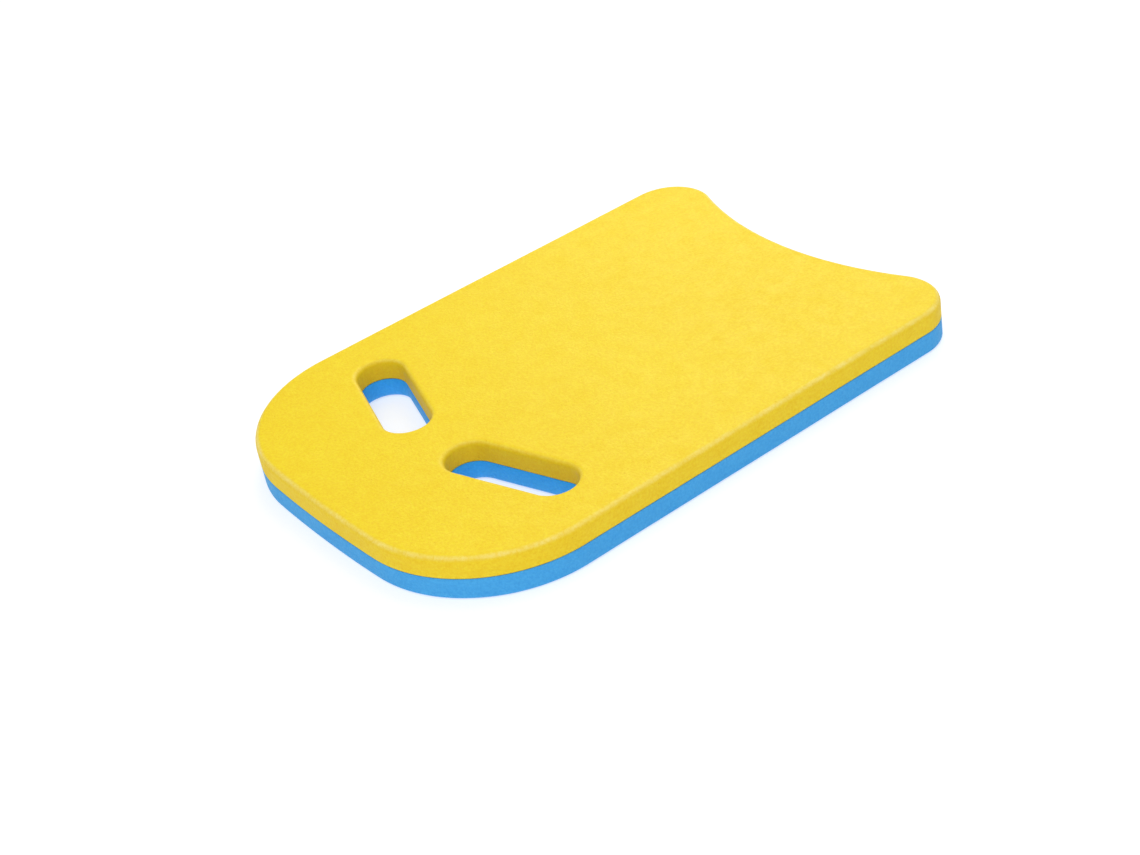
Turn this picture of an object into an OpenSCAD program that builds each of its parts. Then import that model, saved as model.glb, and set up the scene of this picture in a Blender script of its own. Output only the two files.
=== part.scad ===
// Kickboard float: two closed-cell foam sheets glued face to face, with two hand slots near
// the nose. The origin is the middle of the underside, +Z is up, the rounded nose points
// along -Y and the hollowed tail along +Y. The board is the same left and right.

/* [Board] */
// Length from the nose to the tips of the tail
board_l = 430; // [410:5:480]
// Width across the two straight sides
board_w = 300; // [290:5:330]
// Thickness of the whole board
board_t = 32; // [24:1:40]
// Thickness of the glue film between the two sheets
film_t = 0.4; // [0.2:0.1:0.6]

/* [Nose] */
// Radius of the two big nose corners
nose_corner_r = 96; // [80:2:110]
// Radius of the shallow arc between the nose corners
nose_arc_r = 1200; // [800:50:2000]

/* [Tail] */
// Radius of the two tail corners
tail_corner_r = 34; // [26:1:40]
// How far the tail is hollowed in at the middle
tail_dip = 23; // [15:1:25]

/* [Hand slots] */
// Length of a slot, end to end
slot_l = 98; // [92:1:110]
// Width of a slot, which is also the diameter of its round ends
slot_w = 33; // [30:1:36]
// Distance of a slot's middle from the centre line
slot_x = 67; // [65:1:72]
// Distance of a slot's middle forward of the board's middle
slot_forward = 110; // [95:1:112]
// Angle by which a slot's inner end points forward of its outer end
slot_turn = 18; // [10:1:22]

/* [Hidden] */
$fn = 96;

sheet_t = (board_t - film_t) / 2;
side_x = board_w / 2;
tip_y = board_l / 2;

// Nose: each corner arc meets the side line and the shallow arc without a kink.
nose_arc_y = nose_arc_r - tip_y;
nose_corner_x = side_x - nose_corner_r;
nose_corner_y = nose_arc_y - sqrt(pow(nose_arc_r - nose_corner_r, 2) - pow(nose_corner_x, 2));
nose_join = around([0, nose_arc_y], nose_arc_r,
                   atan2(nose_corner_y - nose_arc_y, nose_corner_x));

// Tail: each corner arc meets the side line and the hollow arc without a kink.
tail_corner_x = side_x - tail_corner_r;
tail_corner_y = tip_y - tail_corner_r;
tail_arc_r = (pow(tail_corner_x, 2) + tail_dip * (tail_dip - 2 * tail_corner_r)) / (2 * tail_dip);
tail_arc_y = tip_y - tail_dip + tail_arc_r;
tail_join = around([0, tail_arc_y], tail_arc_r,
                   atan2(tail_corner_y - tail_arc_y, tail_corner_x));

// Distance from a slot's middle to the centre of each round end
slot_half = (slot_l - slot_w) / 2;

// Point at a distance and an angle from a centre
function around(centre, r, angle) = centre + r * [cos(angle), sin(angle)];

// The nose between its two corners, bulging forward to the shallow arc
module nose_cap() {
  intersection() {
    translate([0, nose_arc_y])
      circle(nose_arc_r, $fn = 1440);
    translate([-nose_join.x, -tip_y])
      square([2 * nose_join.x, nose_join.y + tip_y]);
  }
}

// The hollow that is cut from the tail, between its two corners
module tail_hollow() {
  intersection() {
    translate([0, tail_arc_y])
      circle(tail_arc_r, $fn = 720);
    translate([-tail_join.x, 0])
      square([2 * tail_join.x, tip_y]);
  }
}

// The board seen from above, without its slots
module outline() {
  right = [
    nose_join,
    [side_x, nose_corner_y],
    [side_x, tail_corner_y],
    tail_join,
  ];
  left = [for (i = [len(right) - 1:-1:0]) [-right[i].x, right[i].y]];
  difference() {
    union() {
      polygon(concat(right, left));
      for (side = [-1, 1]) {
        translate([side * nose_corner_x, nose_corner_y])
          circle(nose_corner_r);
        translate([side * tail_corner_x, tail_corner_y])
          circle(tail_corner_r);
      }
      nose_cap();
    }
    tail_hollow();
  }
}

// Both hand slots seen from above
module slots() {
  for (side = [-1, 1])
    translate([side * slot_x, -slot_forward])
      rotate(side * slot_turn) {
        square([2 * slot_half, slot_w], center = true);
        for (end = [-1, 1])
          translate([end * slot_half, 0])
            circle(d = slot_w);
      }
}

// A flat layer of the board, cut through by both slots
module layer(thickness) {
  linear_extrude(thickness)
    difference() {
      outline();
      slots();
    }
}

// The lower sheet, which the board rests on
module bottom_foam() {
  color("#4b9fdb")
    layer(sheet_t);
}

// The film of glue that holds the sheets together
module glue_film() {
  color("#d8d2b0")
    translate([0, 0, sheet_t])
      layer(film_t);
}

// The upper sheet
module top_foam() {
  color("#fbe040")
    translate([0, 0, sheet_t + film_t])
      layer(sheet_t);
}

bottom_foam();
glue_film();
top_foam();
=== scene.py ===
"""Kickboard float: two foam sheets and the glue line between them.

Lengths are in metres, in the frame of the CAD model: the origin is the middle of the underside,
+Z is up, the rounded nose points along -Y and the hollowed tail along +Y.
"""

from math import asin, atan2, ceil, cos, degrees, pi, radians, sin, sqrt

import bmesh
import bpy
from mathutils import Matrix, Vector, kdtree, noise
from mathutils.geometry import delaunay_2d_cdt


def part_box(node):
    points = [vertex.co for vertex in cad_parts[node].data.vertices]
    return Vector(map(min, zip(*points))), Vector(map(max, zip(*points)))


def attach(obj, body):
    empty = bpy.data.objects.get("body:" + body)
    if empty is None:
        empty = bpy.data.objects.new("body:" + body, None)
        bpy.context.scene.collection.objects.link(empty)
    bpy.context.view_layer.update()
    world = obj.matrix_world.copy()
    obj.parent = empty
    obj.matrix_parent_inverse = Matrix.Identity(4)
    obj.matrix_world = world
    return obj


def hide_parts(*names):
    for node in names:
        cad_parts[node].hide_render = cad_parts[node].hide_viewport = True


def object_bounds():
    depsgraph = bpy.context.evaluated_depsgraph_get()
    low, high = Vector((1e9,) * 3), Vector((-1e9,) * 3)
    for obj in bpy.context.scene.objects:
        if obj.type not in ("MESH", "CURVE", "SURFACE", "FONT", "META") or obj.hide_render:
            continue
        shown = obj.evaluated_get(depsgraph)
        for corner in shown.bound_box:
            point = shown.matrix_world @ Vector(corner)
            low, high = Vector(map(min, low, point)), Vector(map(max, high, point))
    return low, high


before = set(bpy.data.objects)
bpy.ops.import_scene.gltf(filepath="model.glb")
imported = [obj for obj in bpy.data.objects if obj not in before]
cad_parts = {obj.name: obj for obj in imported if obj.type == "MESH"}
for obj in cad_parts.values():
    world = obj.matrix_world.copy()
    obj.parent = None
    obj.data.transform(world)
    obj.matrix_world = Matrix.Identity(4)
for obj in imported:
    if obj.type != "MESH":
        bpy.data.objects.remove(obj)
CAD_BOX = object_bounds()

# ---------------------------------------------------------------- sizes of the board

SIDE_X = CAD_BOX[1].x
TIP_Y = max(-CAD_BOX[0].y, CAD_BOX[1].y)
UNDERSIDE_Z, JOINT_LOW_Z = (corner.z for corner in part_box("bottom_foam"))
JOINT_HIGH_Z, TOP_Z = (corner.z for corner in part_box("top_foam"))

NOSE_CORNER_R = 0.096
NOSE_ARC_R = 1.2
TAIL_CORNER_R = 0.034
TAIL_DIP = 0.023
SLOT_L = 0.098
SLOT_W = 0.033
SLOT_X = 0.067
SLOT_FORWARD = 0.110
SLOT_TURN = 18

# Rounding of the outer edge and of the slots' rims on each face, and the small bevel beside
# the glue line
TOP_EDGE_R = 0.0045
TOP_RIM_R = 0.0038
UNDER_EDGE_R = 0.0025
UNDER_RIM_R = 0.0055
ARRIS = 0.0004
# The rounding's slope, in degrees from the wall, where the edge's wear and painted highlight are
# strongest, and how far they spread
WEAR_AND_HIGHLIGHT_ANGLE = 49
WEAR_AND_HIGHLIGHT_SPREAD = 31
# How far in, as a share of the rounding, the cut walls' own colour reaches, and how much of the
# slots' painted wall shading is gone where a slot's wall reaches the face, so that the painted
# shade deepens towards the joint
CUT_REACH = 0.3
SLOT_SHADING_FADE = 0.8
# How far the glue line lies behind the cut walls
GLUE_RECESS = 0.0006

# Spacing of the mesh's points along the outer edge, along the slots, across the flat faces and
# up the walls, and the number of steps round each rounded edge
OUTLINE_STEP = 0.0017
SLOT_STEP = 0.0012
FACE_STEP = 0.0042
WALL_STEP = 0.0016
ROUND_STEPS = 8
# Band around a slot that the even points of the faces keep out of, and how many face steps
# they keep from any rim point
SLOT_BAND = 0.008
RIM_GAP = 0.7
# Distance under which two points of a face count as one
SAME_POINT = 1e-7

# The surfaces' slow unevenness, as (depth, size) pairs
WALL_WAVES = [(0.00022, 0.050), (0.00007, 0.012)]
FACE_WAVES = [(0.00030, 0.090), (0.00006, 0.018)]
WAVE_CONTRAST = 0.6


# ---------------------------------------------------------------- outlines

def arc(centre, radius, start, end, step):
    """Points from one angle to another without the last, each with its normal out of the foam.

    The foam is on the left of the way round, so the normal of an arc that turns right is
    towards its centre.
    """
    turn = 1 if end > start else -1
    count = ceil(radius * radians(abs(end - start)) / step)
    path = []
    for i in range(count):
        angle = radians(start + (end - start) * i / count)
        outward = Vector((cos(angle), sin(angle)))
        path.append((centre + radius * outward, turn * outward))
    return path


def line(start, end, step):
    """Points along a straight stretch without the last, each with its normal out of the foam."""
    along = (end - start).normalized()
    normal = Vector((along.y, -along.x))
    count = ceil((end - start).length / step)
    return [(start.lerp(end, i / count), normal) for i in range(count)]


def board_loop():
    """The board's outline seen from above, counter-clockwise from the middle of the nose."""
    nose_arc = Vector((0, NOSE_ARC_R - TIP_Y))
    nose_corner_x = SIDE_X - NOSE_CORNER_R
    reach = sqrt((NOSE_ARC_R - NOSE_CORNER_R) ** 2 - nose_corner_x ** 2)
    nose_corner = Vector((nose_corner_x, nose_arc.y - reach))
    nose_join = degrees(-asin(reach / (NOSE_ARC_R - NOSE_CORNER_R)))

    tail_corner = Vector((SIDE_X - TAIL_CORNER_R, TIP_Y - TAIL_CORNER_R))
    spread = tail_corner.x ** 2 + TAIL_DIP * (TAIL_DIP - 2 * TAIL_CORNER_R)
    tail_arc_r = spread / (2 * TAIL_DIP)
    tail_arc = Vector((0, TIP_Y - TAIL_DIP + tail_arc_r))
    tail_join = degrees(atan2(tail_corner.y - tail_arc.y, tail_corner.x))

    right = arc(nose_arc, NOSE_ARC_R, -90, nose_join, OUTLINE_STEP)
    right += arc(nose_corner, NOSE_CORNER_R, nose_join, 0, OUTLINE_STEP)
    right += line(Vector((SIDE_X, nose_corner.y)), Vector((SIDE_X, tail_corner.y)), OUTLINE_STEP)
    right += arc(tail_corner, TAIL_CORNER_R, 0, 180 + tail_join, OUTLINE_STEP)
    right += arc(tail_arc, tail_arc_r, tail_join, -90, OUTLINE_STEP)
    right.append((Vector((0, TIP_Y - TAIL_DIP)), Vector((0, 1))))

    mirror = Vector((-1, 1))
    left = [(point * mirror, normal * mirror) for point, normal in reversed(right[1:-1])]
    return right + left


def slot_line(side):
    """A slot's middle, and the way from there to the centre of its outer round end."""
    middle = Vector((side * SLOT_X, -SLOT_FORWARD))
    outward = side * Vector((cos(radians(side * SLOT_TURN)), sin(radians(side * SLOT_TURN))))
    return middle, (SLOT_L - SLOT_W) / 2 * outward


def slot_loop(side):
    """A slot's edge, clockwise, so that the foam is on the left and the normals face the slot."""
    middle, reach = slot_line(side)
    radius = SLOT_W / 2
    loop = []
    for end in (1, -1):
        hub = middle + end * reach
        facing = degrees(atan2(end * reach.y, end * reach.x))
        loop += arc(hub, radius, facing - 90, facing + 90, SLOT_STEP)
        corner = hub + end * radius * Vector((-reach.y, reach.x)).normalized()
        loop += line(corner, corner - 2 * end * reach, SLOT_STEP)
    return [(point, -normal) for point, normal in reversed(loop)]


def by_slot(point):
    """Whether a point seen from above lies in one of the slots or close to its rim."""
    for side in (-1, 1):
        middle, reach = slot_line(side)
        offset = point - middle
        along = min(max(offset.dot(reach) / reach.length_squared, -1), 1)
        if (offset - along * reach).length < SLOT_W / 2 + SLOT_BAND:
            return True
    return False


# ---------------------------------------------------------------- sheets

def waves(point, layers, seed):
    """Smooth unevenness at a point, from 0 to the sum of the layers' depths."""
    total = 0
    for depth, size in layers:
        level = noise.noise(point / size + Vector((seed, 2 * seed, 3 * seed)))
        total += depth * min(max(0.5 + WAVE_CONTRAST * level, 0), 1)
    return total


def edge_rows(thickness, rounding):
    """A sheet's edge in section, from its joint face to its outer face.

    Each row is (distance in from the wall, height above the joint face, how strongly it is worn
    and painted paler as a highlight).
    """
    rows = [(4 * ARRIS, 0, 0), (ARRIS, 0, 0), (0.3 * ARRIS, 0.3 * ARRIS, 0), (0, ARRIS, 0)]
    straight = thickness - rounding - ARRIS
    count = ceil(straight / WALL_STEP)
    rows += [(0, ARRIS + straight * i / count, 0) for i in range(1, count)]
    for i in range(ROUND_STEPS + 1):
        angle = pi / 2 * i / ROUND_STEPS
        inset = rounding * (1 - cos(angle))
        # Wear and a painted highlight: the rounding is painted paler where it slopes at about
        # this angle
        edge_wear_highlight = max(0, 1 - abs(degrees(angle) - WEAR_AND_HIGHLIGHT_ANGLE) / WEAR_AND_HIGHLIGHT_SPREAD)
        rows.append((inset, thickness - rounding * (1 - sin(angle)), edge_wear_highlight))
    rows.append((1.25 * rounding, thickness, 0))
    return rows


def face_points(rim_points):
    """Points of an even triangle pattern over the board, clear of its rims and slots."""
    rims = kdtree.KDTree(len(rim_points))
    for index, point in enumerate(rim_points):
        rims.insert(point.to_3d(), index)
    rims.balance()
    points = []
    row_step = FACE_STEP * sqrt(3) / 2
    for row in range(ceil(2 * TIP_Y / row_step)):
        for column in range(ceil(2 * SIDE_X / FACE_STEP)):
            x = FACE_STEP * (column + row % 2 / 2) - SIDE_X
            point = Vector((x, row_step * row - TIP_Y))
            rim_distance = rims.find(point.to_3d())[2]
            if rim_distance > RIM_GAP * FACE_STEP and not by_slot(point):
                points.append(point)
    return points


def fill_face(mesh, rims, height_at):
    """Covers the face between the board's rim and the slots' rims with even triangles."""
    rim_verts = [vert for rim in rims for vert in rim]
    rim_points = [vert.co.xy for vert in rim_verts]
    owners = [number for number, rim in enumerate(rims) for vert in rim]
    edges = []
    for rim in rims:
        first = len(edges)
        edges += [(first + i, first + (i + 1) % len(rim)) for i in range(len(rim))]
    points = rim_points + face_points(rim_points)
    inside_outline = 1
    _, _, triangles, origins, _, _ = delaunay_2d_cdt(
        points, edges, [], inside_outline, SAME_POINT)
    inner_verts = {}
    for triangle in triangles:
        corners = [origins[corner][0] for corner in triangle]
        rims_touched = {owners[corner] if corner < len(owners) else None for corner in corners}
        # A triangle whose corners are all on one slot's rim lies across that slot.
        if len(rims_touched) == 1 and rims_touched <= {1, 2}:
            continue
        verts = []
        for corner in corners:
            if corner < len(rim_verts):
                verts.append(rim_verts[corner])
                continue
            if corner not in inner_verts:
                x, y = points[corner]
                inner_verts[corner] = mesh.verts.new((x, y, height_at(x, y)))
            verts.append(inner_verts[corner])
        mesh.faces.new(verts)


def finish_mesh(mesh, name):
    """Turns a closed bmesh into a smooth-shaded object."""
    bmesh.ops.recalc_face_normals(mesh, faces=mesh.faces)
    for face in mesh.faces:
        face.smooth = True
    data = bpy.data.meshes.new(name)
    mesh.to_mesh(data)
    mesh.free()
    piece = bpy.data.objects.new(name, data)
    bpy.context.scene.collection.objects.link(piece)
    return piece


def build_sheet(name, joint_z, face_z, edge_r, rim_r, seed):
    """A foam sheet from its joint face to its outer face, with rounded edges and slot rims.

    Each point carries three marks for the material, from 0 to 1: edge where the edge is worn and
    painted paler as a highlight, cut on the cut walls, fading towards the face in the slots to
    grade their painted shading, and slot in the hand slots.
    """
    mesh = bmesh.new()
    marks = {key: mesh.verts.layers.float.new(key) for key in ("edge", "cut", "slot")}
    up = 1 if face_z > joint_z else -1
    thickness = abs(face_z - joint_z)

    def face_height(x, y):
        return face_z - up * waves(Vector((x, y, seed)), FACE_WAVES, seed)

    joint_rims = []
    face_rims = []
    outlines = [(board_loop(), edge_r, 0), (slot_loop(-1), rim_r, 1), (slot_loop(1), rim_r, 1)]
    for loop, rounding, slot_mark in outlines:
        below = None
        for inset, height, edge_wear_highlight in edge_rows(thickness, rounding):
            lift = height / thickness
            on_wall = inset <= CUT_REACH * rounding
            # In the slots the cut mark falls towards the face, so that the slots' painted wall
            # shading deepens towards the joint
            cut = 1 - slot_mark * SLOT_SHADING_FADE * lift if on_wall else 0
            ring = []
            for point, normal in loop:
                wall = Vector((point.x, point.y, joint_z + up * height))
                inward = inset + waves(wall, WALL_WAVES, seed)
                x, y = point - inward * normal
                z = joint_z + up * height + lift ** 2 * (face_height(x, y) - face_z)
                vert = mesh.verts.new((x, y, z))
                vert[marks["edge"]] = edge_wear_highlight
                vert[marks["cut"]] = cut
                vert[marks["slot"]] = slot_mark
                ring.append(vert)
            if below is None:
                joint_rims.append(ring)
            else:
                for i, vert in enumerate(ring):
                    after = (i + 1) % len(ring)
                    mesh.faces.new((below[i], below[after], ring[after], vert))
            below = ring
        face_rims.append(below)
    fill_face(mesh, joint_rims, lambda x, y: joint_z)
    fill_face(mesh, face_rims, face_height)
    return finish_mesh(mesh, name)


def build_glue_line(name, seed):
    """The glue film as a thin plate whose edge lies a little behind the cut walls."""
    mesh = bmesh.new()
    low_rims = []
    high_rims = []
    for loop in (board_loop(), slot_loop(-1), slot_loop(1)):
        rings = []
        for z in (JOINT_LOW_Z, JOINT_HIGH_Z):
            ring = []
            for point, normal in loop:
                wall = Vector((point.x, point.y, z))
                x, y = point - (GLUE_RECESS + waves(wall, WALL_WAVES, seed)) * normal
                ring.append(mesh.verts.new((x, y, z)))
            rings.append(ring)
        low, high = rings
        for i in range(len(low)):
            after = (i + 1) % len(low)
            mesh.faces.new((low[i], low[after], high[after], high[i]))
        low_rims.append(low)
        high_rims.append(high)
    fill_face(mesh, low_rims, lambda x, y: JOINT_LOW_Z)
    fill_face(mesh, high_rims, lambda x, y: JOINT_HIGH_Z)
    return finish_mesh(mesh, name)


# ---------------------------------------------------------------- materials

WHITE = (1, 1, 1, 1)

# Sizes of the foam's patterns
BROAD_SIZE = 0.11
MOTTLE_SIZE = 0.012
GRAIN_SIZE = 0.0018
CELL_SIZE = 0.0016
PIT_SPACING = 0.006
STREAK_SIZE = 0.0012
WEAR_AND_HIGHLIGHT_SIZE = 0.015
# Scale of the streaks' pattern along each axis, which makes them run level round the walls
STREAK_STRETCH = (0.05, 0.05, 1)
# How far the cut colours cover the skin's colour on the walls
CUT_COVER = 0.85
# Wear and painted highlight of the slots' rims, as a share of the outer edge's
SLOT_WEAR_AND_HIGHLIGHT = 0.35
# How deep the foam's grain is in the bump
GRAIN_DEPTH = 0.00013


class Shader:
    """A material's node tree, with a short call for each kind of node that the foam needs."""

    def __init__(self, name):
        self.material = bpy.data.materials.new(name)
        self.material.use_nodes = True
        self.tree = self.material.node_tree
        self.surface = self.tree.nodes["Principled BSDF"]
        self.place = self.tree.nodes.new("ShaderNodeTexCoord").outputs["Object"]

    def put(self, socket, value):
        """Links a value to a socket, or sets the socket to a plain number or colour."""
        if isinstance(value, bpy.types.NodeSocket):
            self.tree.links.new(value, socket)
        else:
            socket.default_value = value

    def noise(self, size, detail=2, roughness=0.5, stretch=(1, 1, 1)):
        """Noise from 0 to 1 whose features are about size metres across."""
        node = self.tree.nodes.new("ShaderNodeTexNoise")
        self.put(node.inputs["Vector"], self.stretched(stretch))
        self.put(node.inputs["Scale"], 1 / size)
        self.put(node.inputs["Detail"], detail)
        self.put(node.inputs["Roughness"], roughness)
        return node.outputs["Fac"]

    def cells(self, size):
        """Distance inside a pattern of foam cells that are about size metres across."""
        node = self.tree.nodes.new("ShaderNodeTexVoronoi")
        self.put(node.inputs["Vector"], self.place)
        self.put(node.inputs["Scale"], 1 / size)
        return node.outputs["Distance"]

    def stretched(self, stretch):
        """The place on the object, scaled along each axis."""
        node = self.tree.nodes.new("ShaderNodeMapping")
        self.put(node.inputs["Vector"], self.place)
        self.put(node.inputs["Scale"], stretch)
        return node.outputs["Vector"]

    def mark(self, name):
        """A value that the mesh carries at each point."""
        node = self.tree.nodes.new("ShaderNodeAttribute")
        node.attribute_name = name
        return node.outputs["Fac"]

    def remap(self, value, low, high, to_low=0.0, to_high=1.0):
        """A value moved from one range to another and held inside it."""
        node = self.tree.nodes.new("ShaderNodeMapRange")
        for name, number in [("From Min", low), ("From Max", high),
                             ("To Min", to_low), ("To Max", to_high)]:
            self.put(node.inputs[name], number)
        self.put(node.inputs["Value"], value)
        return node.outputs["Result"]

    def math(self, operation, first, second):
        """Two values joined by a Math node's operation."""
        node = self.tree.nodes.new("ShaderNodeMath")
        node.operation = operation
        self.put(node.inputs[0], first)
        self.put(node.inputs[1], second)
        return node.outputs["Value"]

    def mix(self, share, first, second, blend="MIX"):
        """A colour between two colours, or the first one multiplied by a share of the second."""
        node = self.tree.nodes.new("ShaderNodeMix")
        node.data_type = "RGBA"
        node.blend_type = blend
        self.put(node.inputs["Factor"], share)
        self.put(node.inputs["A"], first)
        self.put(node.inputs["B"], second)
        return node.outputs["Result"]

    def bump(self, height, depth):
        """A normal roughened by a height pattern of the given depth."""
        node = self.tree.nodes.new("ShaderNodeBump")
        self.put(node.inputs["Height"], height)
        self.put(node.inputs["Distance"], depth)
        self.put(node.inputs["Strength"], 1.0)
        return node.outputs["Normal"]


def foam_material(name, skin, cut, slot_wall_painted_shading, worn_edge_and_highlight, shade):
    """Closed-cell foam: skin with a fine grain, faint mottling and pits, duller cut walls, slot
    walls with painted shading that deepens towards the joint, and worn edges that are also
    painted paler as a highlight. The colour is multiplied by shade where the patterns are
    darkest.
    """
    shader = Shader(name)
    cuts = shader.mark("cut")
    slots = shader.mark("slot")

    broad = shader.remap(shader.noise(BROAD_SIZE), 0.3, 0.7)
    mottle = shader.remap(shader.noise(MOTTLE_SIZE, 3, 0.6), 0.3, 0.7)
    grain = shader.remap(shader.noise(GRAIN_SIZE, 3, 0.75), 0.35, 0.65)
    cells = shader.cells(CELL_SIZE)
    pits = shader.remap(shader.cells(PIT_SPACING), 0.05, 0.10, 1.0, 0.0)
    streaks = shader.remap(shader.noise(STREAK_SIZE, stretch=STREAK_STRETCH), 0.3, 0.7)
    streaks = shader.math("MULTIPLY", streaks, cuts)

    # Worn edges, also painted paler as a highlight along the roundings, broken up by noise
    wear_and_highlight = shader.remap(shader.noise(WEAR_AND_HIGHLIGHT_SIZE, 3), 0.3, 0.7, 0.4, 1.0)
    wear_and_highlight = shader.math("MULTIPLY", wear_and_highlight, shader.mark("edge"))
    wear_and_highlight = shader.math("MULTIPLY", wear_and_highlight, shader.remap(slots, 0, 1, 1.0, SLOT_WEAR_AND_HIGHLIGHT))

    slot_shading_mask = shader.math("MULTIPLY", cuts, slots)
    colour = shader.mix(shader.math("MULTIPLY", cuts, CUT_COVER), skin, cut)
    # Painted shading on the slots' walls, strongest towards the joint: a darker yellow on the top
    # sheet, a deeper blue on the bottom one
    colour = shader.mix(shader.math("MULTIPLY", slot_shading_mask, CUT_COVER), colour, slot_wall_painted_shading)
    # Painted highlight and wear: the worn edges are painted paler
    colour = shader.mix(wear_and_highlight, colour, worn_edge_and_highlight)
    shades = [(broad, 0.15), (mottle, 0.25), (grain, 0.8), (streaks, 0.25), (pits, 0.4)]
    for pattern, share in shades:
        colour = shader.mix(shader.math("MULTIPLY", pattern, share), colour, shade, "MULTIPLY")
    shader.put(shader.surface.inputs["Base Color"], colour)

    rough = shader.remap(mottle, 0, 1, 0.46, 0.56)
    for pattern, share in [(grain, 0.08), (cuts, 0.10), (wear_and_highlight, -0.22)]:
        rough = shader.math("ADD", rough, shader.math("MULTIPLY", pattern, share))
    shader.put(shader.surface.inputs["Roughness"], rough)

    height = shader.math("MULTIPLY", grain, 0.6)
    for pattern, share in [(cells, 0.6), (streaks, 0.6), (pits, -1.2)]:
        height = shader.math("ADD", height, shader.math("MULTIPLY", pattern, share))
    shader.put(shader.surface.inputs["Normal"], shader.bump(height, GRAIN_DEPTH))

    shader.surface.inputs["Specular IOR Level"].default_value = 0.32
    return shader.material


def glue_material():
    """Hardened contact glue, yellowish and uneven, with a dull gloss."""
    shader = Shader("glue_line_glue")
    blotches = shader.remap(shader.noise(0.006, 4, 0.6), 0.3, 0.7)
    colour = shader.mix(blotches, (0.30, 0.27, 0.14, 1), (0.16, 0.17, 0.13, 1))
    shader.put(shader.surface.inputs["Base Color"], colour)
    shader.put(shader.surface.inputs["Roughness"], shader.remap(blotches, 0, 1, 0.35, 0.6))
    lumps = shader.noise(0.002, 3, 0.6)
    shader.put(shader.surface.inputs["Normal"], shader.bump(lumps, 0.0002))
    return shader.material


def yellow_foam():
    """The upper sheet's foam."""
    return foam_material(
        "yellow_foam_skin",
        skin=(0.92, 0.73, 0.006, 1),
        cut=(0.89, 0.69, 0.019, 1),
        # Painted shade of the slots' walls: a darker, deeper yellow
        slot_wall_painted_shading=(0.80, 0.54, 0.001, 1),
        # Pale worn edge, also a painted highlight
        worn_edge_and_highlight=(1.0, 0.87, 0.35, 1),
        shade=(0.935, 0.81, 0.20, 1),
    )


def blue_foam():
    """The lower sheet's foam."""
    return foam_material(
        "blue_foam_skin",
        skin=(0.050, 0.39, 0.84, 1),
        cut=(0.065, 0.43, 0.84, 1),
        # Painted shading of the slots' walls: a deeper, more saturated blue
        slot_wall_painted_shading=(0.024, 0.42, 1.0, 1),
        # Pale worn edge, also a painted highlight
        worn_edge_and_highlight=(0.15, 0.56, 0.96, 1),
        shade=(0.65, 0.80, 0.91, 1),
    )


# ---------------------------------------------------------------- pieces

def add_piece(piece, node, material):
    """Gives a piece its material, hangs it under the root body and hides the CAD node it stands
    in for.
    """
    piece.data.materials.append(material)
    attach(piece, "root")
    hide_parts(node)


top_sheet = build_sheet("top_sheet", JOINT_HIGH_Z, TOP_Z, TOP_EDGE_R, TOP_RIM_R, seed=1.7)
add_piece(top_sheet, "top_foam", yellow_foam())

bottom_sheet = build_sheet(
    "bottom_sheet", JOINT_LOW_Z, UNDERSIDE_Z, UNDER_EDGE_R, UNDER_RIM_R, seed=4.3)
add_piece(bottom_sheet, "bottom_foam", blue_foam())

glue_line = build_glue_line("glue_line", seed=5)
add_piece(glue_line, "glue_film", glue_material())


# ---------------------------------------------------------------- stage, light and camera

FLOOR_RADIUS = 6
# Gap that keeps the floor from touching the underside
FLOOR_GAP = 0.0002
FLOOR_GLOW = 0.56
SKY_BRIGHTNESS = 0.48

# The camera's place, in degrees and metres, at the photo's viewing angle
VIEW_AZIMUTH = 57.285
VIEW_ELEVATION = 33.126
VIEW_ROLL = -10.678
VIEW_DISTANCE = 1.28342
VIEW_AIM = Vector((0.04249, -0.04494, 0.016))
LENS_MM = 61.57
SENSOR_MM = 36


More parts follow.
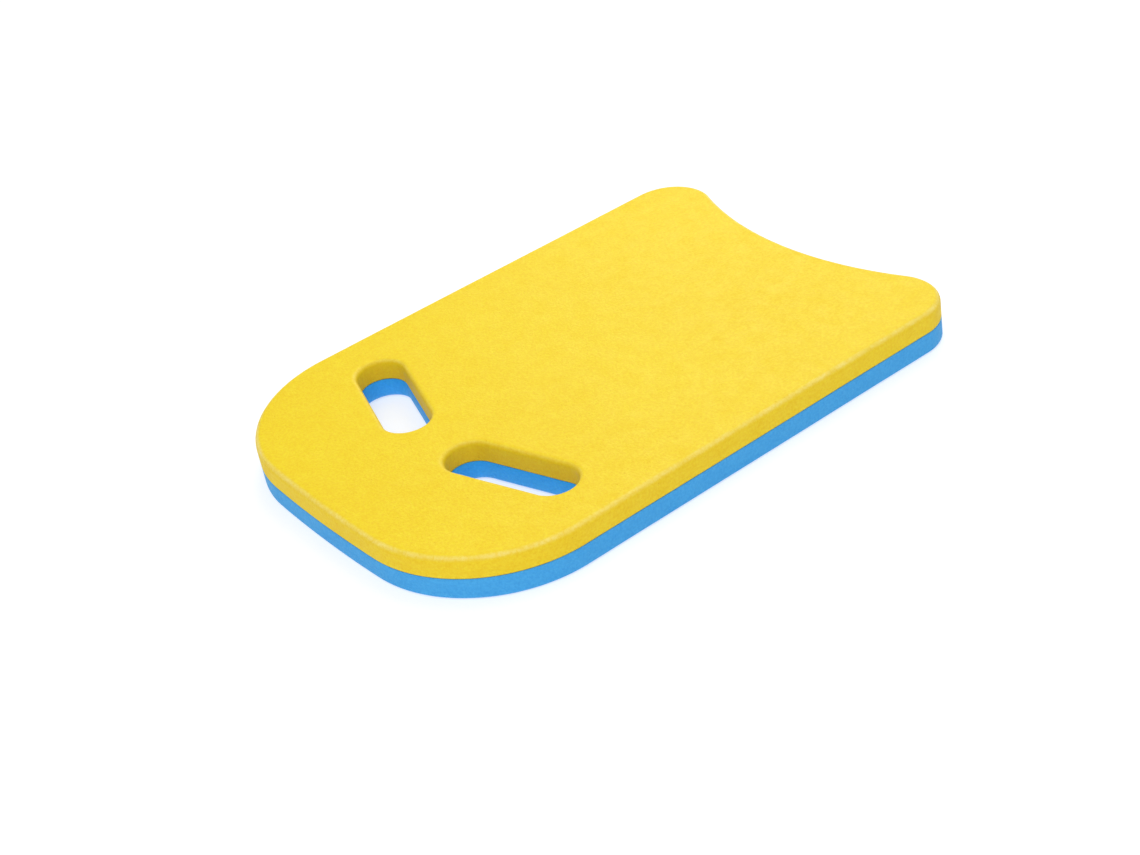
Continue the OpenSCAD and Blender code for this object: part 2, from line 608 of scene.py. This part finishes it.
def build_floor():
    """A plain, pale, round floor."""
    mesh = bmesh.new()
    bmesh.ops.create_circle(mesh, cap_ends=True, radius=FLOOR_RADIUS, segments=96)
    floor = finish_mesh(mesh, "floor")
    floor.location.z = UNDERSIDE_Z - FLOOR_GAP
    shader = Shader("floor_paint")
    shades = shader.mix(shader.noise(0.8, 2), (0.55, 0.55, 0.55, 1), (0.57, 0.57, 0.57, 1))
    shader.put(shader.surface.inputs["Base Color"], shades)
    shader.surface.inputs["Emission Color"].default_value = WHITE
    shader.surface.inputs["Emission Strength"].default_value = FLOOR_GLOW
    shader.surface.inputs["Roughness"].default_value = 0.9
    shader.surface.inputs["Specular IOR Level"].default_value = 0.1
    floor.data.materials.append(shader.material)


def look_from(azimuth, elevation, roll, distance, aim):
    """A place and turn that looks at aim. Azimuth 0 looks along +Y and 90 along -X."""
    azimuth, elevation, roll = radians(azimuth), radians(elevation), radians(roll)
    back = Vector((sin(azimuth) * cos(elevation), -cos(azimuth) * cos(elevation), sin(elevation)))
    level = Vector((cos(azimuth), sin(azimuth), 0))
    above = back.cross(level)
    right = cos(roll) * level + sin(roll) * above
    up = cos(roll) * above - sin(roll) * level
    turn = Matrix((right, up, back)).transposed().to_4x4()
    return Matrix.Translation(aim + distance * back) @ turn


def build_light(name, azimuth, elevation, distance, size, power):
    """A square softbox that faces the board."""
    data = bpy.data.lights.new(name, "AREA")
    data.size = size
    data.energy = power
    light = bpy.data.objects.new(name, data)
    light.matrix_world = look_from(azimuth, elevation, 0, distance, Vector((0, 0, 0)))
    bpy.context.scene.collection.objects.link(light)


def build_sky():
    """Even white light from all round."""
    world = bpy.data.worlds.new("studio")
    world.use_nodes = True
    background = world.node_tree.nodes["Background"]
    background.inputs["Color"].default_value = WHITE
    background.inputs["Strength"].default_value = SKY_BRIGHTNESS
    bpy.context.scene.world = world


def build_camera():
    """The camera, looking at the board as the photo does."""
    data = bpy.data.cameras.new("camera")
    data.lens = LENS_MM
    data.sensor_width = SENSOR_MM
    camera = bpy.data.objects.new("camera", data)
    camera.matrix_world = look_from(
        VIEW_AZIMUTH, VIEW_ELEVATION, VIEW_ROLL, VIEW_DISTANCE, VIEW_AIM)
    bpy.context.scene.collection.objects.link(camera)
    bpy.context.scene.camera = camera


build_floor()
build_sky()
build_light("key", azimuth=200, elevation=62, distance=1.8, size=1.4, power=9)
build_light("back", azimuth=222, elevation=36, distance=1.5, size=0.9, power=6)
build_light("fill", azimuth=42, elevation=50, distance=2.0, size=1.2, power=14.5)
build_camera()
bpy.context.scene.view_settings.view_transform = "Standard"
